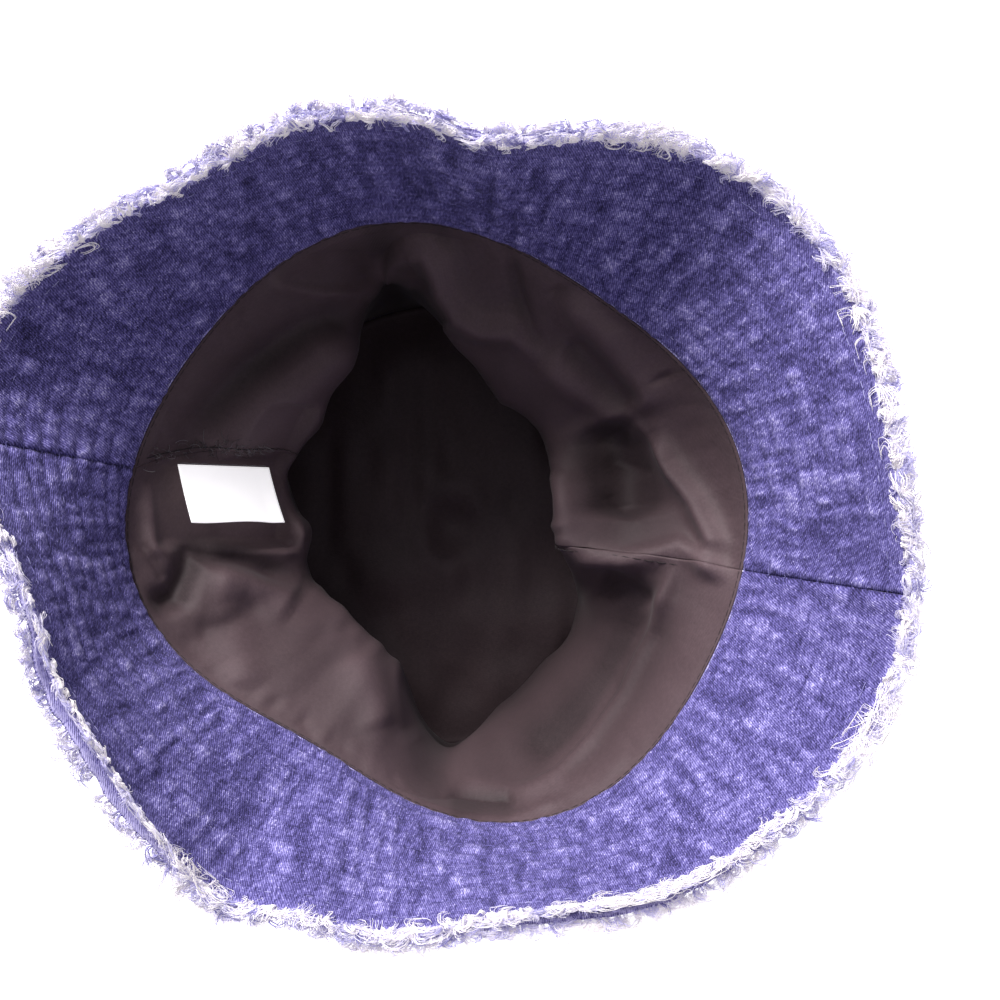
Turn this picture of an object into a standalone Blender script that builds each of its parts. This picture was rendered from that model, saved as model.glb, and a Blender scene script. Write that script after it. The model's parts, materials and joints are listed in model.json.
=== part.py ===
"""Bucket hat in frayed blue denim with a dark lining, standing on its crown with the head opening up.

The origin is the middle of the crown top's outer face, and +Z points out of the head opening. Azimuth runs
anticlockwise from +X as seen from above. The side seams lie near -X and +X, the hat's front panels on the
-Y side and its back panels on the +Y side. Lengths are in metres, and angles in the constants in degrees.
"""

import math

import bmesh
import bpy
from mathutils import Matrix, Vector

# Cloth and thread
DENIM = 0.0011
LINING = 0.0004
INTERLINING = 0.0005
THREAD_RADIUS = 0.00025
GAP = 0.0003  # clearance between pieces that lie against each other
SEAM_THREAD_SHIFT = 0.0034  # of the thread beside an upright seam
CLOTH_ROUGHNESS = 0.9
THREAD_ROUGHNESS = 0.6

# Side seams: the right one starts the back panels, the left one ends them
SEAM_RIGHT = -8.0
SEAM_LEFT = 169.0
PANEL_STEPS = 18  # facets along each half panel
SEAM_GAP_SHARE = 0.00064  # of a half panel's length, on each side of a seam

# Crown, from its flat top at z = 0 to the head opening. A wave is (order, height, azimuth of its crest).
CROWN_HEIGHT = 0.088
CROWN_TOP_RADIUS = 0.0762
OPENING_RADIUS = 0.0885
OPENING_WAVES = ((1, 0.0026, 98), (2, 0.0055, -32), (3, 0.0019, -60), (4, 0.0036, 13))
CROWN_ROWS = (0.006, 0.33, 0.66, 0.982)  # shares of the crown's height
TOP_DISC_RADIUS = 0.0749
LINING_DISC_RADIUS = 0.0738
EDGE_STITCH_HEIGHT = 0.006
HEAD_STITCH_HEIGHT = 0.083
SEAM_STITCH_ROWS = (0.10, 0.33, 0.66, 0.90)
SEAM_STITCH_LIFT = 0.0001  # over that of the rings, which follow the wall's facets

# Loose lining, which falls inwards from the crown wall
LINING_INSET = 0.00155
LINING_SLACK = 0.022
SLACK_WAVES = ((1, 0.006, 135), (2, 0.012, 26), (3, 0.0035, 21), (4, 0.0044, -28))
SLACK_CREST = 0.45  # share of the crown's height
SEAM_SLIP = -10.5  # how far round the loose cloth has slipped at the left seam
SLIP_HALF_WIDTH = 60.0
LINING_HEM = 0.955
LINING_ROWS = (0.02, 0.14, 0.26, 0.38, 0.50, 0.62, 0.76, 0.88, LINING_HEM, 1 - GAP / CROWN_HEIGHT)
HEM_STITCH_INWARD = 0.0011
LINING_SEAM_INWARD = 0.0015

# Brim: two plies and an interlining between them, quilted together, with a fringe along each raw edge
BRIM_WIDTH = 0.058
FRINGE_WIDTH = 0.007
FRINGE_THICKNESS = 0.0014
BRIM_SLOPE = 56.2  # above the horizontal
SLOPE_WAVES = ((1, 2.9, 58), (2, 10.5, -76), (3, 2.1, -26), (4, 5.7, 15))
# Where the brim leans over or stands up more than the waves say: (azimuth, half width, degrees steeper)
SLOPE_FOLDS = (
    (42, 34, -14), (80, 16, 4), (106, 26, -10), (155, 18, -5), (184, 23, 20), (206, 26, 14),
    (239, 13, -9), (280, 26, 6), (341, 26, -8),
)
PLY_OFFSET = INTERLINING / 2 + GAP + DENIM / 2
STITCH_ROWS = 9
FIRST_ROW = 0.004
ROW_PITCH = 0.006
LAST_ROW = FIRST_ROW + ROW_PITCH * (STITCH_ROWS - 1)
INNER_ROWS = (0.0006, 0.010, 0.020, 0.030, 0.038, 0.045, LAST_ROW)  # distances from the head seam that all layers share

# Where the frayed edges of the two plies stand apart: (azimuth, half width, distance of each from the middle)
EDGE_PARTINGS = ((218, 34, 0.0036), (298, 24, 0.0018))

# Care label, sewn into the lining's left seam along one long edge
LABEL_LENGTH = 0.0325
LABEL_WIDTH = 0.0195
LABEL_THICKNESS = 0.0003
LABEL_TOP_SHARE = 0.87
LABEL_BOTTOM_SHARE = 0.60
LABEL_SEAM_AZIMUTH = 1.5  # from the seam to its sewn edge
LABEL_STAND_OFF = 0.0024
LABEL_LIFT = 38.0  # of its free edge from the lining
LABEL_SIDE_AZIMUTH = 12.0  # how far round the wall its free edge is aimed
LABEL_STITCH_SHARE = 0.47  # of its length, from its middle to each end of its stitching

DENIM_BLUE = (0.125, 0.115, 0.330)
DENIM_SHADE = (0.085, 0.080, 0.240)
FRINGE_LILAC = (0.640, 0.620, 0.830)
LINING_BROWN = (0.040, 0.030, 0.031)
LABEL_WHITE = (0.860, 0.850, 0.860)
CANVAS_GREY = (0.420, 0.410, 0.420)
THREAD_BLUE = (0.105, 0.098, 0.290)
THREAD_BLACK = (0.020, 0.017, 0.018)


def clear_scene():
    for old in list(bpy.data.objects):
        bpy.data.objects.remove(old, do_unlink=True)
    collection = bpy.data.collections.new("bucket_hat")
    bpy.context.scene.collection.children.link(collection)
    return collection


def add_piece(collection, name, data, colour, roughness):
    """An object holding data, with a plain material of its own."""
    material = bpy.data.materials.new(name)
    material.use_nodes = True
    shader = material.node_tree.nodes["Principled BSDF"]
    shader.inputs["Base Color"].default_value = (*colour, 1.0)
    shader.inputs["Roughness"].default_value = roughness
    shader.inputs["Metallic"].default_value = 0.0
    data.materials.append(material)
    piece = bpy.data.objects.new(name, data)
    collection.objects.link(piece)
    return piece


def waved(mean, waves, azimuth):
    """A value that rises and falls round the hat. Azimuth is in radians."""
    return mean + sum(
        height * math.cos(order * (azimuth - math.radians(crest))) for order, height, crest in waves
    )


def seam_azimuth(turn):
    """The azimuth in radians at turn, from 0 at the right seam over 1 at the left one to 2 at the right again."""
    if turn <= 1:
        return math.radians(SEAM_RIGHT + turn * (SEAM_LEFT - SEAM_RIGHT))
    return math.radians(SEAM_LEFT + (turn - 1) * (360 + SEAM_RIGHT - SEAM_LEFT))


def at_radius(azimuth, radius, height):
    return Vector((radius * math.cos(azimuth), radius * math.sin(azimuth), height))


def crown_radius(azimuth, share):
    """The crown wall's middle radius at a share of its height, 0 at the crown top and 1 at the head opening."""
    opening = waved(OPENING_RADIUS, OPENING_WAVES, azimuth)
    return CROWN_TOP_RADIUS + (opening - CROWN_TOP_RADIUS) * share


def crown_point(azimuth, share, outward=0.0):
    return at_radius(azimuth, crown_radius(azimuth, share) + outward, CROWN_HEIGHT * share)


def near(azimuth, centre, half_width):
    """1 at the centre's azimuth, falling smoothly to 0 at half_width from it."""
    away = abs((math.degrees(azimuth) - centre + 180) % 360 - 180) / half_width
    return (1 + math.cos(math.pi * min(away, 1))) / 2


def lining_point(azimuth, share, inward=0.0):
    """A point on the lining's side, which is sewn to the crown at its two edges and bulges inwards between."""
    swell = math.sin(math.pi * share ** (math.log(0.5) / math.log(SLACK_CREST)))
    azimuth += math.radians(SEAM_SLIP) * near(azimuth, SEAM_LEFT, SLIP_HALF_WIDTH) * swell
    slack = max(0.0, waved(LINING_SLACK, SLACK_WAVES, azimuth)) * swell**2
    radius = crown_radius(azimuth, share) - LINING_INSET - slack - inward
    return at_radius(azimuth, radius, CROWN_HEIGHT * share)


def brim_slope(azimuth):
    """The brim's slope above the horizontal, in radians."""
    folds = sum(steeper * near(azimuth, centre, half_width) for centre, half_width, steeper in SLOPE_FOLDS)
    return math.radians(waved(BRIM_SLOPE, SLOPE_WAVES, azimuth) + folds)


def edge_parting(azimuth, along):
    """How far each ply stands off the brim's middle surface beyond the last row of stitches."""
    beyond = max(0.0, along - LAST_ROW) / (BRIM_WIDTH + FRINGE_WIDTH - LAST_ROW)
    return beyond * sum(
        distance * near(azimuth, centre, half_width) for centre, half_width, distance in EDGE_PARTINGS
    )


def brim_point(azimuth, along, side=0.0):
    """A point at a distance along the brim's slope from the head seam. Side is its distance from the middle
    surface, above 0 towards the under side that faces the wearer."""
    slope = brim_slope(azimuth)
    if side:
        side += math.copysign(edge_parting(azimuth, along), side)
    opening = waved(OPENING_RADIUS, OPENING_WAVES, azimuth)
    radius = opening + along * math.cos(slope) - side * math.sin(slope)
    return at_radius(azimuth, radius, CROWN_HEIGHT + along * math.sin(slope) + side * math.cos(slope))


def cloth_panel(collection, name, point, rows, first_turn, thickness, colour):
    """Half a turn of cloth: a grid through point(azimuth, row), given its thickness by Solidify."""
    mesh = bpy.data.meshes.new(name)
    grid = bmesh.new()
    bmesh.ops.create_grid(grid, x_segments=PANEL_STEPS, y_segments=len(rows) - 1, size=0.5)
    for vertex in grid.verts:
        across = SEAM_GAP_SHARE + (vertex.co.x + 0.5) * (1 - 2 * SEAM_GAP_SHARE)
        row = rows[round((vertex.co.y + 0.5) * (len(rows) - 1))]
        vertex.co = point(seam_azimuth(first_turn + across), row)
    grid.to_mesh(mesh)
    grid.free()
    mesh.shade_smooth()
    piece = add_piece(collection, name, mesh, colour, CLOTH_ROUGHNESS)
    solidify = piece.modifiers.new("cloth_thickness", "SOLIDIFY")
    solidify.thickness = thickness
    solidify.offset = 0.0
    return piece


def panel_pair(collection, name, point, rows, thickness, colour):
    """The back and the front half of one layer, which meet at the side seams."""
    cloth_panel(collection, name + "_back", point, rows, 0, thickness, colour)
    cloth_panel(collection, name + "_front", point, rows, 1, thickness, colour)


def thread(collection, name, points, closed, colour):
    curve = bpy.data.curves.new(name, "CURVE")
    curve.dimensions = "3D"
    curve.bevel_depth = THREAD_RADIUS
    curve.bevel_resolution = 0
    curve.use_fill_caps = not closed
    spline = curve.splines.new("POLY")
    spline.points.add(len(points) - 1)
    for knot, point in zip(spline.points, points, strict=True):
        knot.co = (*point, 1.0)
    spline.use_cyclic_u = closed
    return add_piece(collection, name, curve, colour, THREAD_ROUGHNESS)


def thread_ring(collection, name, point, colour):
    """A closed row of stitches through point(azimuth) on the same facets as the cloth."""
    turns = [step / PANEL_STEPS for step in range(2 * PANEL_STEPS)]
    return thread(collection, name, [point(seam_azimuth(turn)) for turn in turns], True, colour)


def thread_line(collection, name, point, shares, colour):
    """An open row of stitches through point(share)."""
    return thread(collection, name, [point(share) for share in shares], False, colour)


def disc(collection, name, radius, bottom, thickness, colour):
    mesh = bpy.data.meshes.new(name)
    body = bmesh.new()
    bmesh.ops.create_cone(
        body,
        cap_ends=True,
        segments=2 * PANEL_STEPS,
        radius1=radius,
        radius2=radius,
        depth=thickness,
        matrix=Matrix.Translation((0, 0, bottom + thickness / 2)),
    )
    body.to_mesh(mesh)
    body.free()
    piece = add_piece(collection, name, mesh, colour, CLOTH_ROUGHNESS)
    rounding = piece.modifiers.new("soft_edge", "BEVEL")
    rounding.width = thickness / 4
    rounding.segments = 2
    return piece


def crown(collection):
    disc(collection, "crown_top", TOP_DISC_RADIUS, 0.0, DENIM, DENIM_SHADE)
    panel_pair(collection, "crown_side", crown_point, CROWN_ROWS, DENIM, DENIM_SHADE)
    outward = DENIM / 2 + GAP + THREAD_RADIUS
    rings = (("crown_edge_stitching", EDGE_STITCH_HEIGHT), ("head_seam_stitching", HEAD_STITCH_HEIGHT))
    for name, height in rings:
        thread_ring(
            collection,
            name,
            lambda azimuth, share=height / CROWN_HEIGHT: crown_point(azimuth, share, outward),
            THREAD_BLUE,
        )
    for side, seam in (("right", SEAM_RIGHT), ("left", SEAM_LEFT)):
        beside = math.radians(seam) + SEAM_THREAD_SHIFT / CROWN_TOP_RADIUS
        thread_line(
            collection,
            "crown_seam_stitching_" + side,
            lambda share, azimuth=beside: crown_point(azimuth, share, outward + SEAM_STITCH_LIFT),
            SEAM_STITCH_ROWS,
            THREAD_BLUE,
        )


def lining(collection):
    bottom = DENIM + GAP
    disc(collection, "lining_top", LINING_DISC_RADIUS, bottom, LINING, LINING_BROWN)
    panel_pair(collection, "lining_side", lining_point, LINING_ROWS, LINING, LINING_BROWN)
    thread_ring(
        collection,
        "lining_hem_stitching",
        lambda azimuth: lining_point(azimuth, LINING_HEM, HEM_STITCH_INWARD),
        THREAD_BLACK,
    )
    for side, seam in (("right", SEAM_RIGHT), ("left", SEAM_LEFT)):
        before = math.radians(seam) - SEAM_THREAD_SHIFT / CROWN_TOP_RADIUS
        thread_line(
            collection,
            "lining_seam_thread_" + side,
            lambda share, azimuth=before: lining_point(azimuth, share, LINING_SEAM_INWARD),
            LINING_ROWS[1:-2],
            THREAD_BLACK,
        )


def brim(collection):
    fringe_rows = (BRIM_WIDTH + GAP, BRIM_WIDTH + FRINGE_WIDTH)
    for name, side in (("upper", -PLY_OFFSET), ("under", PLY_OFFSET)):

        def ply(azimuth, along, side=side):
            return brim_point(azimuth, along, side)

        panel_pair(collection, "brim_" + name, ply, (*INNER_ROWS, BRIM_WIDTH), DENIM, DENIM_BLUE)
        panel_pair(collection, "fringe_" + name, ply, fringe_rows, FRINGE_THICKNESS, FRINGE_LILAC)
    panel_pair(collection, "brim_interlining", brim_point, INNER_ROWS, INTERLINING, CANVAS_GREY)
    above = PLY_OFFSET + DENIM / 2 + 2 * GAP + THREAD_RADIUS
    for row in range(STITCH_ROWS):
        thread_ring(
            collection,
            f"brim_stitch_row_{row + 1}",
            lambda azimuth, along=FIRST_ROW + ROW_PITCH * row: brim_point(azimuth, along, above),
            THREAD_BLUE,
        )


def label_frame():
    """The middle of the label's sewn edge, and the directions along that edge, across the label and off it."""
    azimuth = math.radians(SEAM_LEFT + LABEL_SEAM_AZIMUTH)
    top = lining_point(azimuth, LABEL_TOP_SHARE)
    bottom = lining_point(azimuth, LABEL_BOTTOM_SHARE)
    middle_share = (LABEL_TOP_SHARE + LABEL_BOTTOM_SHARE) / 2
    beside = lining_point(azimuth + math.radians(LABEL_SIDE_AZIMUTH), middle_share)
    middle = (top + bottom) / 2
    down = (bottom - top).normalized()
    across = beside - middle
    across = (across - across.dot(down) * down).normalized()
    off = across.cross(down)
    lifted = Matrix.Rotation(math.radians(-LABEL_LIFT), 3, down) @ across
    return middle + off * LABEL_STAND_OFF, down, lifted, off


def care_label(collection):
    hinge, down, across, off = label_frame()
    mesh = bpy.data.meshes.new("care_label")
    plate = bmesh.new()
    bmesh.ops.create_cube(plate, size=1.0)
    bmesh.ops.scale(plate, vec=(LABEL_LENGTH, LABEL_WIDTH, LABEL_THICKNESS), verts=plate.verts)
    bmesh.ops.translate(plate, vec=(0, LABEL_WIDTH / 2, 0), verts=plate.verts)
    plate.to_mesh(mesh)
    plate.free()
    label = add_piece(collection, "care_label", mesh, LABEL_WHITE, THREAD_ROUGHNESS)
    turned = Matrix((down, across, down.cross(across))).transposed().to_4x4()
    label.matrix_world = Matrix.Translation(hinge) @ turned
    beside = hinge - across * (THREAD_RADIUS + 2 * GAP)
    thread_line(
        collection,
        "label_stitching",
        lambda share: beside + down * (share * LABEL_LENGTH),
        (-LABEL_STITCH_SHARE, 0.0, LABEL_STITCH_SHARE),
        THREAD_BLACK,
    )


def build():
    collection = clear_scene()
    crown(collection)
    lining(collection)
    brim(collection)
    care_label(collection)


build()
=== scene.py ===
"""The looks of the bucket hat: denim plies quilted in nine rows, frayed edges, a loose dark lining and a care
label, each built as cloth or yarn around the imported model. Lengths are in metres. Azimuth runs anticlockwise
from +X. A turn is a place round the hat: 0 at the right seam, 1 at the left seam and 2 back at the right one,
so that the back panels hold 0 to 1 and the front panels 1 to 2."""

import json
import math

import bpy
import numpy as np
from mathutils import Matrix, Vector


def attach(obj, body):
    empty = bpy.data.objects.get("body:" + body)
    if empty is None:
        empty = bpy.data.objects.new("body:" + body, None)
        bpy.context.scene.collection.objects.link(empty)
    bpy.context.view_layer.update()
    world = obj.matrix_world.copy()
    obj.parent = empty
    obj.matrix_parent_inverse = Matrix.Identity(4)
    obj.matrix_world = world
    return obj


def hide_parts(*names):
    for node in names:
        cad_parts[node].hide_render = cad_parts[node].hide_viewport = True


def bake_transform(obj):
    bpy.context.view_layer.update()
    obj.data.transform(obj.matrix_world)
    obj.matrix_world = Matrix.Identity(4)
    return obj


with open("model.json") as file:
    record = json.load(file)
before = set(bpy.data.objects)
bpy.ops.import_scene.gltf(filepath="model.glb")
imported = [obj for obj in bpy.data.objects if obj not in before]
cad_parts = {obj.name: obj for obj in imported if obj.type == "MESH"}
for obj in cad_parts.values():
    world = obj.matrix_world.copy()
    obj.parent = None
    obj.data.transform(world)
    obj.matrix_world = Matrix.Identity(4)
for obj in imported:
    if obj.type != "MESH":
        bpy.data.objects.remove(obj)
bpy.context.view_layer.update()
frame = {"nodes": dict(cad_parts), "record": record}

# The hat's shape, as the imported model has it. A wave is (order, height, azimuth of its crest in degrees).
SEAM_RIGHT = -8.0
SEAM_LEFT = 169.0
CROWN_TOP_RADIUS = 0.0762
OPENING_RADIUS = 0.0885
OPENING_WAVES = ((1, 0.0026, 98), (2, 0.0055, -32), (3, 0.0019, -60), (4, 0.0036, 13))
BRIM_SLOPE = 56.2
SLOPE_WAVES = ((1, 2.9, 58), (2, 10.5, -76), (3, 2.1, -26), (4, 5.7, 15))
# Where the brim leans over or stands up more: (azimuth, half width, degrees steeper)
SLOPE_FOLDS = (
    (42, 34, -14), (80, 16, 4), (106, 26, -10), (155, 18, -5), (184, 23, 20), (206, 26, 14),
    (239, 13, -9), (280, 26, 6), (341, 26, -8),
)
LINING_INSET = 0.00155
SEAM_SLIP = -14.0
SLIP_HALF_WIDTH = 60.0
EDGE_PARTINGS = ((218, 34, 0.0036), (298, 24, 0.0018))
BRIM_WIDTH = 0.058
FRINGE_WIDTH = 0.007
DENIM = 0.0011
LINING = 0.0003
PLY_OFFSET = 0.0011
STITCH_ROWS = 9
FIRST_ROW = 0.004
ROW_PITCH = 0.006
LAST_ROW = FIRST_ROW + ROW_PITCH * (STITCH_ROWS - 1)
MOUNTS = {mount["name"]: mount for mount in frame["record"]["mounts"]}
CROWN_HEIGHT = MOUNTS["head_opening"]["pos_m"][2]
JOINTS = {joint["name"]: joint for joint in frame["record"]["behaviour"]["joints"]}

HALVES = (("back", 0.0), ("front", 1.0))

# Radii at which lengths round the hat are measured
CROWN_ARC = 0.08
SWAY_ARC = 0.11
BRIM_ARC = 0.115
FRINGE_ARC = 0.127
EDGE_ARC = 0.13
SWAY_SEED = 5

STITCH_POINTS = 6  # along one stitch
# A thread's height over the cloth where it dips in, at its foot, its side and its top
BRIM_STITCH = (-0.00030, -0.00004, 0.00007, 0.00010)
CROWN_STITCH = (-0.0003, 0.00008, 0.0002, 0.00024)
HEM_STITCH = (-0.0003, 0.00002, 0.00008, 0.0001)
SEAM_STITCH = (-0.0002, 0.0001, 0.0002, 0.00024)
BRIM_STITCH_LENGTH = 0.0029
CROWN_STITCH_LENGTH = 0.003
CROWN_EDGE_HEIGHT = 0.006
HEAD_SEAM_HEIGHT = 0.083
SEAM_MARGIN = 0.0062  # from a side seam to the stitching beside it

CROWN_WALL_LOW = 0.0105  # share of the crown's height where the denim wall begins
LINING_FOOT = 0.021  # share of the crown's height where the lining ends
LABEL_LENGTH = 0.0325
LABEL_WIDTH = 0.0195
LABEL_THICKNESS = 0.00028
LABEL_CLEARANCES = (0.0012, 0.0022)  # at the low and the high end of its swing
LINING_CUT = 0.120  # height of the panels as cut
LIP_SHARE = 0.52  # of the rows between hem and lip

# The lip where the loose lining turns under: (azimuth, radius, height), lengths in millimetres
LIP = (
    (14, 35, 58), (40, 41, 40), (68, 43, 42), (90, 58, 52), (104, 84, 50), (117, 64, 60), (140, 50, 58),
    (162, 53, 46), (180, 44, 46), (203, 46, 54), (218, 40, 60), (240, 41, 60), (252, 44, 58), (263, 62, 54),
    (270, 71, 40), (284, 64, 14), (310, 55, 9), (330, 51, 14), (340, 42, 40), (350, 36, 60),
)
# How much of the way down to the lip the lining has gone a third of the way in from the hem
STEEPNESS = (
    (0, 1.25), (15, 1.30), (32, 0.75), (60, 0.40), (98, 0.55), (112, 0.70), (130, 0.62), (148, 0.75),
    (160, 0.85), (172, 0.55), (184, 0.12), (198, 0.15), (212, 0.30), (240, 0.26), (262, 0.35), (272, 0.40),
    (300, 0.14), (335, 0.24), (350, 0.80),
)
# Folds of the lining seen from above: height and half width, then the path, all in millimetres
FOLDS = (
    (-5.0, 5.5, ((-78, 29), (-60, 47), (-42, 60), (-24, 67))),
    (4.4, 8.0, ((-77, 21), (-55, 36), (-39, 50), (-29, 61))),
    (1.6, 2.0, ((-58, 79), (-49, 73), (-37, 71), (-28, 72), (-23, 75), (-17, 81), (-11, 85))),
    (5.5, 4.2, ((-17, 81), (-11, 86), (-5, 85), (-2, 80), (0, 72), (4, 66), (11, 62), (21, 61), (29, 54))),
    (-4.5, 4.5, ((-25, 84), (-17, 90), (-5, 91), (4, 88))),
    (-3.0, 5.0, ((-10, 77), (-6, 70), (0, 62))),
    (4.5, 6.0, ((29, 54), (44, 42), (56, 31), (64, 28))),
    (-3.5, 5.0, ((36, 58), (50, 44), (60, 36))),
    (-2.4, 2.2, ((20, 83), (22, 70), (26, 60), (31, 55))),
    (3.6, 6.0, ((35, 72), (49, 57), (59, 44), (66, 33))),
    (4.6, 3.4, ((64, 30), (68, 20), (77, 8), (82, -4), (80, -12))),
    (-11.0, 10.0, ((48, 34), (55, 16), (56, 2))),
    (1.8, 4.0, ((34, 19), (35, 8), (36, -3))),
    (3.6, 3.4, ((37, -5), (43, -9), (54, -10), (66, -8), (72, -6), (79, -11), (90, -16))),
    (-3.6, 5.0, ((47, -17), (56, -20), (62, -25))),
    (3.6, 2.4, ((71, -10), (66, -22), (60, -36), (52, -51), (44, -64), (34, -74), (24, -80))),
    (-5.4, 7.0, ((64, -20), (60, -32), (53, -45), (45, -56), (35, -66), (21, -74))),
    (-4.6, 3.0, ((0, -84), (10, -83.5), (22, -83))),
    (1.4, 1.6, ((7, -89), (12, -87), (17, -88), (26, -86), (35, -82))),
    (1.4, 3.0, ((4, -78), (14, -80), (26, -80), (40, -75))),
    (-6.0, 4.0, ((-91, -24), (-80, -20), (-77, -12), (-76, -6), (-63, -9), (-45, -17))),
    (4.5, 5.0, ((-72, -1), (-59, -1), (-45, -5))),
    (3.4, 6.0, ((-72, -16), (-60, -16), (-45, -25))),
    (2.0, 3.0, ((-91, 15), (-88, 2), (-86, -10))),
    (-1.4, 1.6, ((-91, -4), (-87, -9), (-83, -16))),
    (-1.4, 3.5, ((-75, -31), (-66, -29), (-56, -22))),
    (1.6, 6.0, ((-66, -22), (-63, -35), (-60, -50))),
    (1.5, 5.0, ((-29, -38), (-23, -50), (-20, -62))),
    (-1.2, 4.0, ((-20, -35), (-14, -50), (-10, -66))),
    (-1.3, 1.4, ((31, 71), (44, 74))),
    (-1.3, 1.4, ((45, 66), (53, 68))),
    (-1.3, 1.4, ((47, 64), (61, 59))),
    (-1.3, 1.4, ((63, 45), (75, 48))),
    (1.2, 1.5, ((57, 35), (66, 22), (72, 12))),
    (-1.2, 1.8, ((46, 22), (54, 20), (64, 17))),
    (-1.0, 1.6, ((48, 12), (54, 6), (60, 2))),
)


# ---------------------------------------------------------------- shape of the hat


def waved(mean, waves, azimuth):
    return mean + sum(
        height * np.cos(order * (azimuth - math.radians(crest))) for order, height, crest in waves
    )


def seam_azimuth(turn):
    """The azimuth in radians at a turn. Below 0 and above 2 it runs on."""
    turn = np.asarray(turn, float)
    lap = np.floor(turn / 2)
    turn = turn - 2 * lap
    back = SEAM_RIGHT + turn * (SEAM_LEFT - SEAM_RIGHT)
    front = SEAM_LEFT + (turn - 1) * (360 + SEAM_RIGHT - SEAM_LEFT)
    return np.radians(np.where(turn <= 1, back, front) + 360 * lap)


def at_radius(azimuth, radius, height):
    return np.stack([radius * np.cos(azimuth), radius * np.sin(azimuth), height + 0 * radius], -1)


def opening_radius(azimuth):
    return waved(OPENING_RADIUS, OPENING_WAVES, azimuth)


def crown_radius(azimuth, share):
    return CROWN_TOP_RADIUS + (opening_radius(azimuth) - CROWN_TOP_RADIUS) * share


def near(azimuth, centre, half_width):
    """1 at the centre's azimuth, falling smoothly to 0 at half_width from it."""
    away = np.abs((np.degrees(azimuth) - centre + 180) % 360 - 180) / half_width
    return (1 + np.cos(np.pi * np.minimum(away, 1))) / 2


def brim_slope(azimuth):
    """The brim's slope above the horizontal, in radians."""
    folds = sum(steeper * near(azimuth, centre, width) for centre, width, steeper in SLOPE_FOLDS)
    return np.radians(waved(BRIM_SLOPE, SLOPE_WAVES, azimuth) + folds)


def edge_parting(azimuth, along):
    """How far each ply stands off the brim's middle surface beyond the last row of stitches."""
    beyond = np.maximum(0.0, along - LAST_ROW) / (BRIM_WIDTH + FRINGE_WIDTH - LAST_ROW)
    return beyond * sum(
        distance * near(azimuth, centre, half_width) for centre, half_width, distance in EDGE_PARTINGS
    )


def brim_point(azimuth, along, side, ply=0):
    """A point on the brim at a distance along its slope from the head seam. Side is its distance from the
    middle surface, above 0 towards the wearer, and ply is 1 or -1 where it goes with a ply's parted edge."""
    slope = brim_slope(azimuth)
    side = side + ply * edge_parting(azimuth, along)
    radius = opening_radius(azimuth) + along * np.cos(slope) - side * np.sin(slope)
    return at_radius(azimuth, radius, CROWN_HEIGHT + along * np.sin(slope) + side * np.cos(slope))


def smoothstep(low, high, value):
    share = np.clip((value - low) / (high - low), 0, 1)
    return share * share * (3 - 2 * share)


def value_noise(x, y, seed):
    """Smooth noise from -1 to 1 with cells of size 1. It repeats every 1024 cells."""
    table = np.random.default_rng(seed).uniform(-1, 1, (1024, 64))
    x, y = np.broadcast_arrays(np.asarray(x, float), np.asarray(y, float))
    column, row = np.floor(x).astype(int), np.floor(y).astype(int)
    u, v = smoothstep(0, 1, x - column), smoothstep(0, 1, y - row)

    def knot(across, up):
        return table[(column + across) % 1024, (row + up) % 64]

    low = knot(0, 0) * (1 - u) + knot(1, 0) * u
    high = knot(0, 1) * (1 - u) + knot(1, 1) * u
    return low * (1 - v) + high * v


# ---------------------------------------------------------------- meshes


def new_object(name, points, *faces, attributes=()):
    """A smooth mesh object from points and arrays of faces, one array for each number of corners."""
    mesh = bpy.data.meshes.new(name)
    mesh.vertices.add(len(points))
    mesh.vertices.foreach_set("co", np.ascontiguousarray(points, np.float32).ravel())
    corners = np.concatenate([np.asarray(kind).ravel() for kind in faces]).astype(np.int32)
    sizes = np.concatenate([np.full(len(kind), np.shape(kind)[1]) for kind in faces])
    mesh.loops.add(len(corners))
    mesh.loops.foreach_set("vertex_index", corners)
    mesh.polygons.add(len(sizes))
    mesh.polygons.foreach_set("loop_start", (np.cumsum(sizes) - sizes).astype(np.int32))
    mesh.update(calc_edges=True)
    mesh.validate()
    mesh.shade_smooth()
    for key, values in dict(attributes).items():
        kind, field = ("FLOAT_VECTOR", "vector") if np.ndim(values) == 2 else ("FLOAT", "value")
        layer = mesh.attributes.new(key, kind, "POINT")
        layer.data.foreach_set(field, np.ascontiguousarray(values, np.float32).ravel())
    piece = bpy.data.objects.new(name, mesh)
    bpy.context.scene.collection.objects.link(piece)
    return piece


def grid_faces(columns, rows, start=0, flip=False):
    """Quads over a grid of points stored column by column."""
    column, row = np.meshgrid(np.arange(columns - 1), np.arange(rows - 1), indexing="ij")
    first = (start + column * rows + row).ravel()
    quads = np.stack([first, first + rows, first + rows + 1, first + 1], 1)
    return quads[:, ::-1] if flip else quads


def sheet_normals(points):
    """Unit normals of a grid of points, from its neighbours' differences."""
    normal = np.cross(np.gradient(points, axis=0), np.gradient(points, axis=1))
    return normal / np.maximum(np.linalg.norm(normal, axis=-1, keepdims=True), 1e-12)


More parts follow.
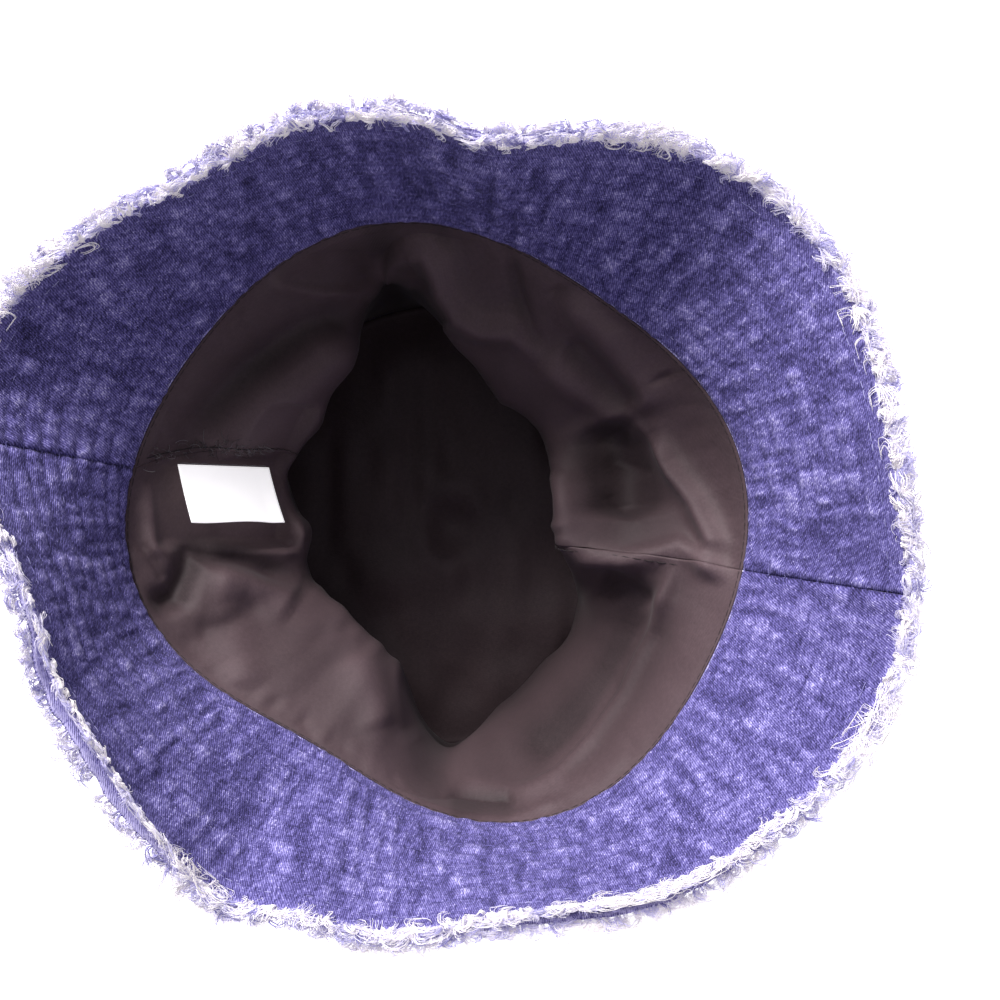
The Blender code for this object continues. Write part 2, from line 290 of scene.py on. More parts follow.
def cloth(name, middle, thickness, relief=None, attributes=()):
    """A closed sheet around a grid of middle points. Relief lifts the face on the side of the grid's normals,
    and an attribute is a grid of values that both faces share."""
    columns, rows = middle.shape[:2]
    normal = sheet_normals(middle)
    lift = thickness / 2 + (0 if relief is None else relief[..., None])
    top, bottom = middle + normal * lift, middle - normal * (thickness / 2)
    count = columns * rows
    grid = np.arange(count).reshape(columns, rows)
    ring = np.concatenate([grid[:-1, 0], grid[-1, :-1], grid[:0:-1, -1], grid[0, :0:-1]])
    following = np.roll(ring, -1)
    rim = np.stack([following, ring, ring + count, following + count], 1)
    faces = grid_faces(columns, rows), grid_faces(columns, rows, start=count, flip=True), rim
    points = np.concatenate([top.reshape(-1, 3), bottom.reshape(-1, 3)])
    doubled = {
        key: np.concatenate([values.reshape(count, -1)] * 2).squeeze()
        for key, values in dict(attributes).items()
    }
    doubled["reverse"] = np.repeat([0.0, 1.0], count)
    return new_object(name, points, *faces, attributes=doubled)


def tubes(name, paths, radius, sides=4, closed=False, attributes=()):
    """Round threads along paths of equal length: paths is (threads, points, 3), radius (threads, points)."""
    threads, steps = paths.shape[:2]
    if closed:
        tangent = np.roll(paths, -1, 1) - np.roll(paths, 1, 1)
    else:
        tangent = np.gradient(paths, axis=1)
    tangent /= np.maximum(np.linalg.norm(tangent, axis=-1, keepdims=True), 1e-12)
    across = np.empty_like(paths)
    seed = np.cross(tangent[:, 0], [0.31, 0.17, 0.94])
    for step in range(steps):
        seed = seed - (seed * tangent[:, step]).sum(-1, keepdims=True) * tangent[:, step]
        seed = seed / np.maximum(np.linalg.norm(seed, axis=-1, keepdims=True), 1e-12)
        across[:, step] = seed
    beside = np.cross(tangent, across)
    angle = 2 * np.pi * np.arange(sides) / sides
    offset = across[..., None, :] * np.cos(angle)[:, None] + beside[..., None, :] * np.sin(angle)[:, None]
    points = paths[:, :, None] + offset * radius[..., None, None]
    index = np.arange(threads * steps * sides).reshape(threads, steps, sides)
    following = np.roll(index, -1, 1) if closed else index[:, 1:]
    start = index if closed else index[:, :-1]
    turned = np.roll(start, -1, 2), np.roll(following, -1, 2)
    faces = np.stack([start, turned[0], turned[1], following], -1).reshape(-1, 4)
    per_point = {
        key: np.repeat(np.broadcast_to(values, (threads, steps)).ravel(), sides)
        for key, values in dict(attributes).items()
    }
    ends = [] if closed else [index[:, 0, ::-1], index[:, -1]]
    return new_object(name, points.reshape(-1, 3), faces, *ends, attributes=per_point)


# ---------------------------------------------------------------- materials


class Nodes:
    """A material's node tree, built in a few words."""

    def __init__(self, name):
        self.material = bpy.data.materials.new(name)
        self.material.use_nodes = True
        self.tree = self.material.node_tree
        self.shader = self.tree.nodes["Principled BSDF"]

    def add(self, kind, settings=(), **inputs):
        node = self.tree.nodes.new(kind)
        for key, value in dict(settings).items():
            setattr(node, key, value)
        for key, value in inputs.items():
            self.put(node, int(key[1:]) if key[0] == "_" else key.replace("_", " "), value)
        return node

    def put(self, node, socket, value):
        if isinstance(value, bpy.types.NodeSocket):
            self.tree.links.new(value, node.inputs[socket])
        else:
            node.inputs[socket].default_value = value

    def attribute(self, name, output="Fac"):
        return self.add("ShaderNodeAttribute", {"attribute_name": name}).outputs[output]

    def maths(self, operation, first, second, third=0.0):
        node = self.add("ShaderNodeMath", {"operation": operation}, _0=first, _1=second, _2=third)
        return node.outputs[0]

    def noise(self, place, scale, detail=2.0, stretch=(1, 1, 1), turn=0.0):
        """Noise from 0 to 1. Scale is in cells per metre along each axis after the turn."""
        size = tuple(scale * each for each in stretch)
        mapped = self.add("ShaderNodeMapping", Vector=place, Rotation=(0, 0, turn), Scale=size)
        return self.add("ShaderNodeTexNoise", Vector=mapped.outputs[0], Scale=1.0, Detail=detail).outputs[0]

    def bands(self, place, period, turn=0.0, distortion=0.0):
        mapped = self.add("ShaderNodeMapping", Vector=place, Rotation=(0, 0, turn))
        wave = self.add(
            "ShaderNodeTexWave",
            Vector=mapped.outputs[0],
            Scale=math.pi / (10 * period),
            Distortion=distortion,
            Detail_Scale=1.0,
        )
        return wave.outputs["Fac"]

    def ramp(self, value, stops):
        node = self.add("ShaderNodeValToRGB", Fac=value)
        while len(node.color_ramp.elements) < len(stops):
            node.color_ramp.elements.new(0.5)
        for element, (place, colour) in zip(node.color_ramp.elements, stops, strict=True):
            element.position = place
            element.color = (*colour, 1.0)
        return node.outputs["Color"]

    def weighted(self, base, *terms):
        """base plus the sum of each value times its weight, a value of 0.5 adding nothing."""
        total = base - sum(weight * 0.5 for _, weight in terms)
        for value, weight in terms:
            node = self.add("ShaderNodeMath", {"operation": "MULTIPLY_ADD"}, _0=value, _1=weight, _2=total)
            total = node.outputs[0]
        return total

    def bump(self, height, distance, strength=1.0):
        node = self.add("ShaderNodeBump", Height=height, Distance=distance, Strength=strength)
        self.put(self.shader, "Normal", node.outputs[0])

    def finish(self, colour, roughness, **uniform):
        self.put(self.shader, "Base Color", colour)
        self.put(self.shader, "Roughness", roughness)
        for key, value in uniform.items():
            self.shader.inputs[key.replace("_", " ")].default_value = value
        return self.material


TWILL_TURN = math.radians(25)
TWILL_PITCH = 0.00062


def denim_material(name, level):
    """Washed indigo twill. Level raises or lowers how faded it is."""
    nodes = Nodes(name)
    place = nodes.attribute("cloth", "Vector")
    wear_and_shade = nodes.attribute("wear_and_shade")
    twill = nodes.bands(place, TWILL_PITCH, TWILL_TURN, distortion=1.6)
    floats = nodes.noise(place, 1900, 2.0, (1, 0.28, 1), TWILL_TURN)
    slubs = nodes.noise(place, 900, 2.0, (0.25, 1.6, 1), TWILL_TURN + 0.5)
    blotches = nodes.noise(place, 420, 2.5)
    fading = nodes.noise(place, 45, 2.0)
    specks = nodes.maths("SUBTRACT", nodes.noise(place, 1900, 1.0, (0.6, 1.3, 1), 0.9), 0.60)
    specks = nodes.maths("MULTIPLY", nodes.maths("MAXIMUM", specks, 0.0), 2.6)
    shade = nodes.weighted(
        level, (twill, 0.26), (floats, 1.15), (slubs, 0.42), (blotches, 0.26), (fading, 0.10), (wear_and_shade, 0.50)
    )
    shade = nodes.maths("MULTIPLY_ADD", nodes.attribute("reverse"), 0.42, shade)
    colour = nodes.ramp(
        nodes.maths("ADD", shade, specks),
        (
            (0.00, (0.018, 0.014, 0.055)),
            (0.30, (0.054, 0.045, 0.160)),
            (0.52, (0.120, 0.103, 0.310)),
            (0.74, (0.235, 0.208, 0.510)),
            (1.00, (0.560, 0.520, 0.820)),
        ),
    )
    height = nodes.weighted(0.5, (twill, 0.5), (floats, 0.7), (slubs, 0.3))
    nodes.bump(height, 0.00022, 0.75)
    roughness = nodes.weighted(0.86, (floats, 0.12), (wear_and_shade, 0.08))
    return nodes.finish(colour, roughness, Sheen_Weight=0.06, Sheen_Roughness=0.5, Specular_IOR_Level=0.16)


def lining_material(name):
    """Dark brown poplin with a soft satin sheen, finely ribbed and flecked with random lint and patches. Its
    colour is painted lighter on the flaps and along fold ridges and darker deep in the crown and in fold
    valleys: painted light and shade.
    """
    nodes = Nodes(name)
    place = nodes.attribute("cloth", "Vector")
    rib = nodes.bands(place, 0.00034, distortion=0.6)
    weave = nodes.noise(place, 2600, 1.0, (0.5, 1, 1))
    lint = nodes.noise(place, 700, 3.0)
    patches = nodes.noise(place, 38, 3.0)
    # Painted light and shade: this attribute lightens the flaps and fold ridges and darkens the deep crown and
    # the fold valleys.
    wear_and_shade = nodes.attribute("wear_and_shade")
    shade = nodes.weighted(0.42, (rib, 0.10), (weave, 0.24), (patches, 0.30), (lint, 0.20), (wear_and_shade, 0.70))
    colour = nodes.ramp(
        shade,
        (
            (0.0, (0.020, 0.013, 0.015)),
            (0.5, (0.074, 0.047, 0.053)),
            (1.0, (0.150, 0.100, 0.112)),
        ),
    )
    nodes.bump(nodes.weighted(0.5, (rib, 0.4), (weave, 0.6), (lint, 0.5)), 0.00010, 0.8)
    roughness = nodes.weighted(0.58, (patches, 0.12), (weave, 0.14))
    return nodes.finish(colour, roughness, Sheen_Weight=0.05, Sheen_Roughness=0.5, Specular_IOR_Level=0.26)


def yarn_material(name, stops, fuzz=0.3, glow=0.0):
    """Twisted yarn whose tone attribute runs through the stops. Glow stands in for the light that passes
    through loose white fibres."""
    nodes = Nodes(name)
    place = nodes.add("ShaderNodeTexCoord").outputs["Object"]
    tone = nodes.attribute("tone")
    fibres = nodes.noise(place, 3800, 2.0)
    dirt = nodes.noise(place, 420, 2.0)
    colour = nodes.ramp(nodes.weighted(0.5, (fibres, 0.24), (dirt, 0.12), (tone, 1.0)), stops)
    nodes.put(nodes.shader, "Emission Color", colour)
    nodes.bump(fibres, 0.00008, 0.7)
    return nodes.finish(
        colour, nodes.weighted(0.8, (fibres, 0.2)), Sheen_Weight=fuzz, Sheen_Roughness=0.4,
        Specular_IOR_Level=0.2, Emission_Strength=glow,
    )


def label_material(name):
    """White satin ribbon: fine cross ribs, a faint random wash, and no print. It glows a little, painted light
    that keeps it white in the shade of the lining.
    """
    nodes = Nodes(name)
    place = nodes.attribute("cloth", "Vector")
    rib = nodes.bands(place, 0.00028, math.radians(90), distortion=0.3)
    weave = nodes.noise(place, 2400, 1.0, (1, 0.4, 1))
    wash = nodes.noise(place, 120, 2.0)
    shade = nodes.weighted(0.6, (rib, 0.12), (weave, 0.25), (wash, 0.35))
    white = (0.0, (0.80, 0.78, 0.80)), (0.5, (0.93, 0.91, 0.92)), (1.0, (0.97, 0.96, 0.96))
    colour = nodes.ramp(shade, white)
    nodes.bump(nodes.weighted(0.5, (rib, 0.6), (weave, 0.4)), 0.00005, 0.6)
    # Painted light: the label glows though it is no lamp.
    nodes.put(nodes.shader, "Emission Color", colour)
    return nodes.finish(colour, nodes.weighted(0.42, (weave, 0.14)), Sheen_Weight=0.1, Emission_Strength=0.62)


def floor_material():
    nodes = Nodes("pale_floor")
    place = nodes.add("ShaderNodeTexCoord").outputs["Object"]
    grain = nodes.noise(place, 9, 3.0)
    colour = nodes.ramp(grain, ((0.3, (0.90, 0.89, 0.90)), (0.7, (0.94, 0.93, 0.94))))
    return nodes.finish(colour, 0.9, Emission_Color=(1, 0.985, 0.99, 1), Emission_Strength=1.0)


FRINGE_STOPS = (
    (0.00, (0.210, 0.190, 0.480)),
    (0.25, (0.470, 0.440, 0.760)),
    (0.50, (0.780, 0.740, 0.920)),
    (0.75, (0.940, 0.900, 0.960)),
    (1.00, (0.980, 0.930, 0.940)),
)
THREAD_STOPS = (
    (0.0, (0.045, 0.040, 0.140)),
    (0.5, (0.150, 0.135, 0.380)),
    (1.0, (0.420, 0.400, 0.680)),
)
LINING_THREAD_STOPS = (
    (0.0, (0.010, 0.008, 0.009)),
    (0.5, (0.030, 0.024, 0.026)),
    (1.0, (0.200, 0.190, 0.200)),
)


# ---------------------------------------------------------------- brim


def panel_turns(first, columns, gap=0.00001):
    """Turns across one half panel, a hair short of its seams."""
    return first + np.linspace(gap, 1 - gap, columns)


def flat_place(turn, along, first):
    """Where a brim point lay on the flat panel that it was cut from, so that the twill runs as cut."""
    azimuth = seam_azimuth(turn)
    middle = seam_azimuth(first + 0.5)
    flatness = math.cos(math.radians(BRIM_SLOPE))
    swing = (azimuth - middle) * flatness
    radius = OPENING_RADIUS / flatness + along
    return np.stack([radius * np.sin(swing), radius * np.cos(swing), 0.3 * first + 0 * along], -1)


def seam_distance(turn, radius):
    """Metres to the nearest side seam, measured round the hat."""
    return np.abs(turn - np.round(turn)) * np.pi * radius


def quilting(arc, along, seed):
    """The relief of cloth drawn together by rows of stitches: (height, wear), each row a groove and the cloth
    between puckered across it, with pleats that run on over several rows."""
    band = np.floor((along - FIRST_ROW) / ROW_PITCH)
    place = (along - FIRST_ROW) / ROW_PITCH - band
    puff = np.sin(np.pi * place) ** 0.6
    inside = smoothstep(LAST_ROW + 0.0012, LAST_ROW - 0.0012, along) * smoothstep(0.0, 0.004, along)
    short = value_noise(arc / 0.0021, band * 2.31 + 0.35 * place, seed)
    middle = value_noise(arc / 0.0043, along / 0.0052, seed + 1)
    drift = 0.8 * value_noise(along / 0.01, arc / 0.03, seed + 4)
    pleat = value_noise(arc / 0.0024 + drift, along / 0.015, seed + 5)
    pucker = 0.75 * short + 0.45 * middle + 0.60 * pleat
    height = inside * puff * (0.00042 + 0.00042 * pucker) + inside * 0.00014 * pleat
    loose = (1 - inside) * 0.00020 * (middle + pleat)
    groove = inside * (1 - puff) * 0.00014 * short
    wear_and_shade = 0.5 + inside * (0.46 * pucker * (0.4 + 0.6 * puff) - 0.30 * (1 - puff) ** 2)
    return height + loose + groove, np.clip(wear_and_shade, 0, 1)


def seam_relief(distance, along, seed):
    """A side seam's valley, with the cloth beside it gathered between the rows of stitches."""
    beside = np.exp(-(((distance - 0.0022) / 0.0014) ** 2))
    valley = np.exp(-((distance / 0.0007) ** 2))
    gathers = np.sin(2 * np.pi * (along - FIRST_ROW) / ROW_PITCH - 0.5 * np.pi)
    gathers = gathers + 0.6 * value_noise(distance / 0.002, along / 0.002, seed)
    return beside * (0.00025 + 0.00022 * gathers) - valley * 0.00075


def edge_sway(azimuth, along):
    """The long flutter of the brim's free edge, which the fringe shares."""
    return value_noise(azimuth * SWAY_ARC / 0.034, along / 0.09 + 7.5, SWAY_SEED) * 0.0012


def ply_middle(turn, along, ply):
    """The middle surface of one ply, with the flutter of its free edge."""
    azimuth = seam_azimuth(turn)
    fine = value_noise(azimuth * SWAY_ARC / 0.012, along / 0.05 + 2.5, SWAY_SEED + 1) * 0.0004
    sway = edge_sway(azimuth, along) + fine
    lift = smoothstep(0.012, BRIM_WIDTH, along) * sway
    tuck = np.where(along < 0.0012, (0.0012 - along) * 0.9, 0.0)
    return brim_point(azimuth, along, ply * (PLY_OFFSET - tuck) + lift, ply)


def brim_ply(name, ply, first, columns, rows, material, seed):
    turn = panel_turns(first, columns)[:, None] + np.zeros((1, rows))
    row = np.linspace(0, 1, rows)[None, :]
    ragged = value_noise(seam_azimuth(turn) * EDGE_ARC / 0.0035, 0 * turn + 3.5, seed + 9) * 0.0007
    along = -0.0004 + row * (BRIM_WIDTH + 0.0004 + ragged)
    middle = ply_middle(turn, along, ply)
    arc = seam_azimuth(turn) * BRIM_ARC
    relief, wear_and_shade = quilting(arc, along, seed)
    distance = seam_distance(turn, BRIM_ARC)
    relief = relief + seam_relief(distance, along, seed + 20)
    wear_and_shade = wear_and_shade - 0.5 * np.exp(-((distance / 0.0006) ** 2))
    wear_and_shade = np.clip(wear_and_shade + 0.35 * smoothstep(BRIM_WIDTH - 0.003, BRIM_WIDTH, along), 0, 1)
    if ply > 0:
        middle, relief, wear_and_shade = middle[::-1], relief[::-1], wear_and_shade[::-1]
        turn, along = turn[::-1], along[::-1]
    place = flat_place(turn, along, first)
    piece = cloth(name, middle, DENIM, relief, {"cloth": place, "wear_and_shade": wear_and_shade})
    piece.data.materials.append(material)
    return piece


def brim_plies():
    denim = denim_material("washed_denim", 0.47)
    outer = denim_material("washed_denim_outer", 0.43)
    interlining = canvas_material("interlining_canvas")
    for half, first in HALVES:
        under = brim_ply(f"brim_under_{half}_cloth", 1, first, 470, 78, denim, 11)
        upper = brim_ply(f"brim_upper_{half}_cloth", -1, first, 400, 66, outer, 31)
        for piece, node in ((under, f"brim_under_{half}"), (upper, f"brim_upper_{half}")):
            settle_on_brim(piece, node)
        turn = panel_turns(first, 120)[:, None] + np.zeros((1, 14))
        along = np.linspace(0.001, LAST_ROW, 14)[None, :] + 0 * turn
        middle = brim_point(seam_azimuth(turn), along, 0.0)
        core = cloth(
            f"brim_interlining_{half}_canvas", middle, 0.0005, None, {"cloth": flat_place(turn, along, first)}
        )
        core.data.materials.append(interlining)
        settle_on_brim(core, f"brim_interlining_{half}")


def canvas_material(name):
    nodes = Nodes(name)
    place = nodes.attribute("cloth", "Vector")
    warp = nodes.bands(place, 0.0008)
    weft = nodes.bands(place, 0.0008, math.radians(90))
    shade = nodes.weighted(0.5, (warp, 0.3), (weft, 0.3), (nodes.noise(place, 500), 0.4))
    colour = nodes.ramp(shade, ((0.0, (0.30, 0.29, 0.30)), (1.0, (0.60, 0.58, 0.59))))
    nodes.bump(nodes.weighted(0.5, (warp, 0.5), (weft, 0.5)), 0.0001, 0.6)
    return nodes.finish(colour, 0.9, Sheen_Weight=0.1)


def settle_on_brim(piece, node):
    """The piece stands for a brim node, whose part it hides, and keeps its place with its transform baked into
    its mesh.
    """
    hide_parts(node)
    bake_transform(piece)


def stitched(count, dip, foot, side, top):
    """How far a thread of so many points stands over the cloth at each, stitch after stitch."""
    return np.array([dip, foot, side, top, side, foot])[np.arange(count) % STITCH_POINTS]


def threads(name, paths, radius, sides, tone, material, closed=False):
    """Threads of one thickness. Tone is a number or one value for each point."""
    piece = tubes(name, paths, np.full(paths.shape[:2], radius), sides, closed, {"tone": tone})
    piece.data.materials.append(material)
    return piece


def settle(piece, node, body):
    """The piece stands for a node and rides one body."""
    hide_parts(node)
    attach(piece, body)


def outwards(azimuth):
    return at_radius(azimuth, 1.0 + 0 * azimuth, 0.0)


def stitch_rows():
    thread = yarn_material("denim_thread", THREAD_STOPS, 0.1)
    for row in range(STITCH_ROWS):
        along = FIRST_ROW + ROW_PITCH * row
        length = 2 * np.pi * (OPENING_RADIUS + along * math.cos(math.radians(BRIM_SLOPE)))
        stitches = round(length / BRIM_STITCH_LENGTH)
        count = stitches * STITCH_POINTS
        turn = 2 * np.arange(count) / count
        phase = (np.arange(count) % STITCH_POINTS) / STITCH_POINTS
        last = row == STITCH_ROWS - 1
        proud = stitched(count, *BRIM_STITCH) - (0.0 if last else 0.00012)
        azimuth = seam_azimuth(turn)
        wobble = value_noise(azimuth * 20, 0.5 + row, 77) * 0.00022
        slope = brim_slope(azimuth)
        normal = at_radius(azimuth, -np.sin(slope), np.cos(slope))
        faces = [
            ply_middle(turn, along + wobble, ply) + normal * (ply * (DENIM / 2 + 0.00002 + proud))[:, None]
            for ply in (1, -1)
        ]
        shade = np.random.default_rng(200 + row).standard_normal(stitches).repeat(STITCH_POINTS)
        tone = np.clip((0.55 if last else 0.25) + 0.2 * shade + 0.12 * phase, 0, 1)
        name = f"brim_stitch_row_{row + 1}"
        piece = threads(f"{name}_thread", np.stack(faces), 0.00014, 4, tone, thread, closed=True)
        settle_on_brim(piece, name)


# ---------------------------------------------------------------- fringe


def yarn_locks(rng, count, strands, steps, length, turning):
    """Locks of yarn that leave the cloth side by side, lean over along the edge and curl back. Each point is
    (around, out, up), and a lock's strands follow one another."""

    def each(low, high):
        return rng.uniform(low, high, (count, 1, 1))

    t = np.linspace(0, 1, steps)[None, None, :]
    strand = rng.normal(0, 1, (count, strands, 1))
    bend = each(*turning) * rng.choice([-1.0, 1.0], (count, 1, 1))
    heading = rng.normal(0, 0.55, (count, 1, 1)) + 0.16 * strand
    heading = heading + bend * (1 + 0.10 * strand) * t ** each(0.7, 1.8)
    heading = heading + 0.35 * np.sin(2 * np.pi * (t * each(0.8, 2.4) + each(0, 1)) + 0.5 * strand)
    stride = each(*length) * (1 + 0.14 * rng.normal(0, 1, (count, strands, 1))) / steps
    out = np.cumsum(np.cos(heading) * stride, -1)
    around = np.cumsum(np.sin(heading) * stride, -1)
    fan = rng.normal(0, 0.00022, (count, strands, 1)) * (0.5 + 0.8 * np.sin(np.pi * t))
    around, out = around + fan * np.cos(heading), out - fan * np.sin(heading)
    up = each(-0.0006, 0.0018) * np.sin(np.pi * t * each(0.5, 1.1))
    up = up + 0.00022 * rng.normal(0, 1, (count, strands, 1))
    return np.stack([around, out, up], -1).reshape(count * strands, steps, 3)


# Where long cream yarns hang loose in loops: azimuth and spread in degrees, number on each half
LONG_LOOPS = (
    (298, 12, 26), (272, 8, 9), (62, 7, 12), (150, 14, 14), (235, 16, 12), (20, 12, 8), (335, 14, 8),
    (95, 5, 5),
)


def fringe_piece(name, node, ply, first, amount, material, seed):
    rng = np.random.default_rng(seed)
    half_arc = np.pi * FRINGE_ARC
    groups = []

    def place(paths, turn, along, rest, thick, tone):
        """Bends local paths on to the brim's edge and keeps them with their thickness and tone."""
        azimuth = seam_azimuth(turn + paths[..., 0] / half_arc)
        along = along + np.clip(paths[..., 1], -0.0022, FRINGE_WIDTH + 0.0015)
        height = ply * (PLY_OFFSET + rest + np.maximum(paths[..., 2], -0.0009))
        world = brim_point(azimuth, along, height + edge_sway(azimuth, BRIM_WIDTH), ply)
        groups.append([world] + [np.broadcast_to(each, world.shape[:2]) for each in (thick, tone)])

    def locks(count, strands, steps, length, turning, rest, thick, tone, turns=None):
        paths = yarn_locks(rng, count, strands, steps, length, turning)
        if turns is None:
            turns = first + rng.uniform(0.003, 0.997, count)
        ragged = value_noise(seam_azimuth(turns) * EDGE_ARC / 0.006, 0 * turns + 0.5, 90)
        root = BRIM_WIDTH - 0.0008 + 0.0011 * ragged + rng.uniform(-0.0007, 0.0007, count)
        turns, root = turns.repeat(strands)[:, None], root.repeat(strands)[:, None]
        if ply > 0:
            parted = smoothstep(34, 8, np.abs((np.degrees(seam_azimuth(turns)) - 215 + 180) % 360 - 180))
            paths[..., 1] *= 1 - 0.55 * parted
        shade = rng.normal(*tone, (count, 1)).repeat(strands, 0)
        shade = shade + rng.normal(0, 0.07, (count * strands, 1))
        shade = shade * (0.72 + 0.28 * smoothstep(0, 0.45, np.linspace(0, 1, steps)[None, :]))
        width = rng.uniform(*thick, (count * strands, 1)) * np.linspace(1.05, 0.6, steps)[None, :]
        place(paths, turns, root, rest, width, np.clip(shade, 0.02, 1))

    locks(int(430 * amount), 7, 8, (0.0040, 0.0085), (0.6, 2.8), 0.0002, (0.00010, 0.00015), (0.44, 0.20))
    locks(int(130 * amount), 7, 10, (0.0055, 0.0100), (1.6, 4.0), 0.0008, (0.00009, 0.00014), (0.66, 0.18))
    locks(int(800 * amount), 1, 6, (0.0030, 0.0080), (0.2, 2.5), 0.0001, (0.00004, 0.00006), (0.45, 0.2))
    locks(int(210 * amount), 9, 7, (0.0030, 0.0065), (0.4, 1.6), 0.0010, (0.00011, 0.00017), (0.90, 0.12))
    for centre, spread, number in LONG_LOOPS:
        turns = (rng.normal(centre, spread / 2, number) - SEAM_LEFT) / (360 + SEAM_RIGHT - SEAM_LEFT) + 1
        if first == 0:
            past_seam = (rng.normal(centre, spread / 2, number) - SEAM_RIGHT + 180) % 360 - 180
            turns = past_seam / (SEAM_LEFT - SEAM_RIGHT)
        turns = turns[(turns > first + 0.01) & (turns < first + 0.99)]
        if len(turns):
            locks(
                len(turns), 5, 14, (0.0110, 0.0200), (2.4, 5.2), 0.0014, (0.00008, 0.00012), (0.95, 0.06),
                turns,
            )

    pieces = [
        tubes(f"{name}_{number}", world, thick, 3, attributes={"tone": tone})
        for number, (world, thick, tone) in enumerate(groups)
    ]
    whole = joined(pieces, name)
    whole.data.materials.append(material)
    settle(whole, node, "brim_edge")


def joined(pieces, name):
    """One object from several, keeping their attributes."""
    with bpy.context.temp_override(
        active_object=pieces[0], selected_objects=pieces, selected_editable_objects=pieces
    ):
        bpy.ops.object.join()
    pieces[0].name = name
    pieces[0].data.name = name
    return pieces[0]


def fringes():
    material = yarn_material("fringe_yarn", FRINGE_STOPS, 0.35, 0.13)
    seed = 400
    for half, first in HALVES:
        for layer, ply, amount in (("under", 1, 1.0), ("upper", -1, 0.8)):
            seed += 1
            fringe_piece(
                f"fringe_{layer}_{half}_yarns", f"fringe_{layer}_{half}", ply, first, amount, material, seed
            )


# ---------------------------------------------------------------- crown


def crown_middle(turn, share):
    """The crown wall, with soft dents and a rounded turn into the crown top."""
    azimuth = seam_azimuth(turn)
    arc = azimuth * CROWN_ARC
    dents = value_noise(arc / 0.045, share * 1.6 + 4.5, 41) * 0.0016
    dents = dents + value_noise(arc / 0.016, share * 4.0 + 1.5, 42) * 0.0006
    dents = dents * np.sin(np.pi * np.clip(share, 0, 1)) ** 0.5
    height = CROWN_HEIGHT * share
    turned = np.maximum(0.0, 0.0022 - height)
    inwards = 0.0022 - np.sqrt(np.maximum(0.0022**2 - turned**2, 0.0))
    return at_radius(azimuth, crown_radius(azimuth, share) + dents - inwards, height)


def crown_panels():
    denim = denim_material("crown_denim", 0.42)
    for half, first in HALVES:
        columns, rows = 300, 90
        turn = panel_turns(first, columns)[:, None] + np.zeros((1, rows))
        share = np.linspace(CROWN_WALL_LOW, 0.984, rows)[None, :] + 0 * turn
        middle = crown_middle(turn, share)
        arc = seam_azimuth(turn) * CROWN_ARC
        distance = seam_distance(turn, CROWN_ARC)
        seam = 0.0009 * np.exp(-(((distance - 0.0035) / 0.0030) ** 4))
        seam = seam - 0.0008 * np.exp(-((distance / 0.0006) ** 2))
        fine = value_noise(arc / 0.006, share * 14, 43) * 0.00018
        wear_and_shade = 0.5 + 0.25 * value_noise(arc / 0.010, share * 9, 44)
        wear_and_shade = wear_and_shade + 0.35 * np.exp(-(((distance - 0.006) / 0.0015) ** 2))
        wear_and_shade = wear_and_shade + 0.45 * np.exp(-((share / 0.05) ** 2))
        place = np.stack([arc, CROWN_HEIGHT * share, 0 * arc], -1)
        look = {"cloth": place, "wear_and_shade": np.clip(wear_and_shade, 0, 1)}
        piece = cloth(f"crown_side_{half}_cloth", middle, DENIM, seam + fine, look)
        piece.data.materials.append(denim)
        settle_on_crown(piece, f"crown_side_{half}")
    crown_disc("crown_top_cloth", "crown_top", 0.0, DENIM, 0.0750, denim)


def settle_on_crown(piece, node):
    """The piece stands for a crown node, whose part it hides, and keeps its place with its transform baked
    into its mesh.
    """
    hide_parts(node)
    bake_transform(piece)


def crown_disc(name, node, bottom, thickness, radius, material, wear_and_shade=0.5, billow=0.0):
    """A round panel: a disc of cloth that turns up a little at its sewn edge."""
    turns, rings = 180, 48
    azimuth = np.linspace(0, 2 * np.pi, turns, endpoint=False)
    reach = np.linspace(0, 1, rings + 1)[1:]
    ripple = 0.00025 * smoothstep(0.5, 1.0, reach)[None, :] * (
        1 + value_noise(azimuth[:, None] * 9, reach[None, :] * 5, 51)
    )
    disc = at_radius(azimuth[:, None], radius * reach[None, :] + 0 * azimuth[:, None], 0.0)
    loose = 1 + value_noise(disc[..., 0] / 0.022 + 20, disc[..., 1] / 0.022 + 20.4, 52)
    loose = loose + 0.4 * value_noise(disc[..., 0] / 0.007 + 40, disc[..., 1] / 0.013 + 30.4, 53)
    held = smoothstep(1.0, 0.7, reach) * smoothstep(0.0, 0.2, reach)
    ripple = ripple + billow * np.maximum(loose, 0) * held
    rounded = 0.0006 * smoothstep(0.97, 1.0, reach)[None, :]
    layers = []
    for level in (bottom, bottom + thickness):
        disc[..., 2] = level + ripple * (0.3 if level == 0 else 1.0) + rounded
        layers.append(np.concatenate([[[0, 0, level]], disc.reshape(-1, 3)]))
    count = 1 + turns * rings
    index = 1 + np.arange(turns * rings).reshape(turns, rings)
    following = np.roll(index, -1, 0)
    quads = np.stack([index[:, :-1], index[:, 1:], following[:, 1:], following[:, :-1]], -1).reshape(-1, 4)
    rim = np.stack([index[:, -1], following[:, -1], following[:, -1] + count, index[:, -1] + count], -1)
    fan = np.stack([np.zeros(turns, int), index[:, 0], following[:, 0]], -1)
    points = np.concatenate(layers)
    look = {"cloth": points * [1, 1, 0], "wear_and_shade": np.full(len(points), wear_and_shade)}
    faces = quads[:, ::-1], quads + count, rim, fan[:, ::-1], fan + count
    piece = new_object(name, points, *faces, attributes=look)
    piece.data.materials.append(material)
    settle(piece, node, "crown_top_panel")


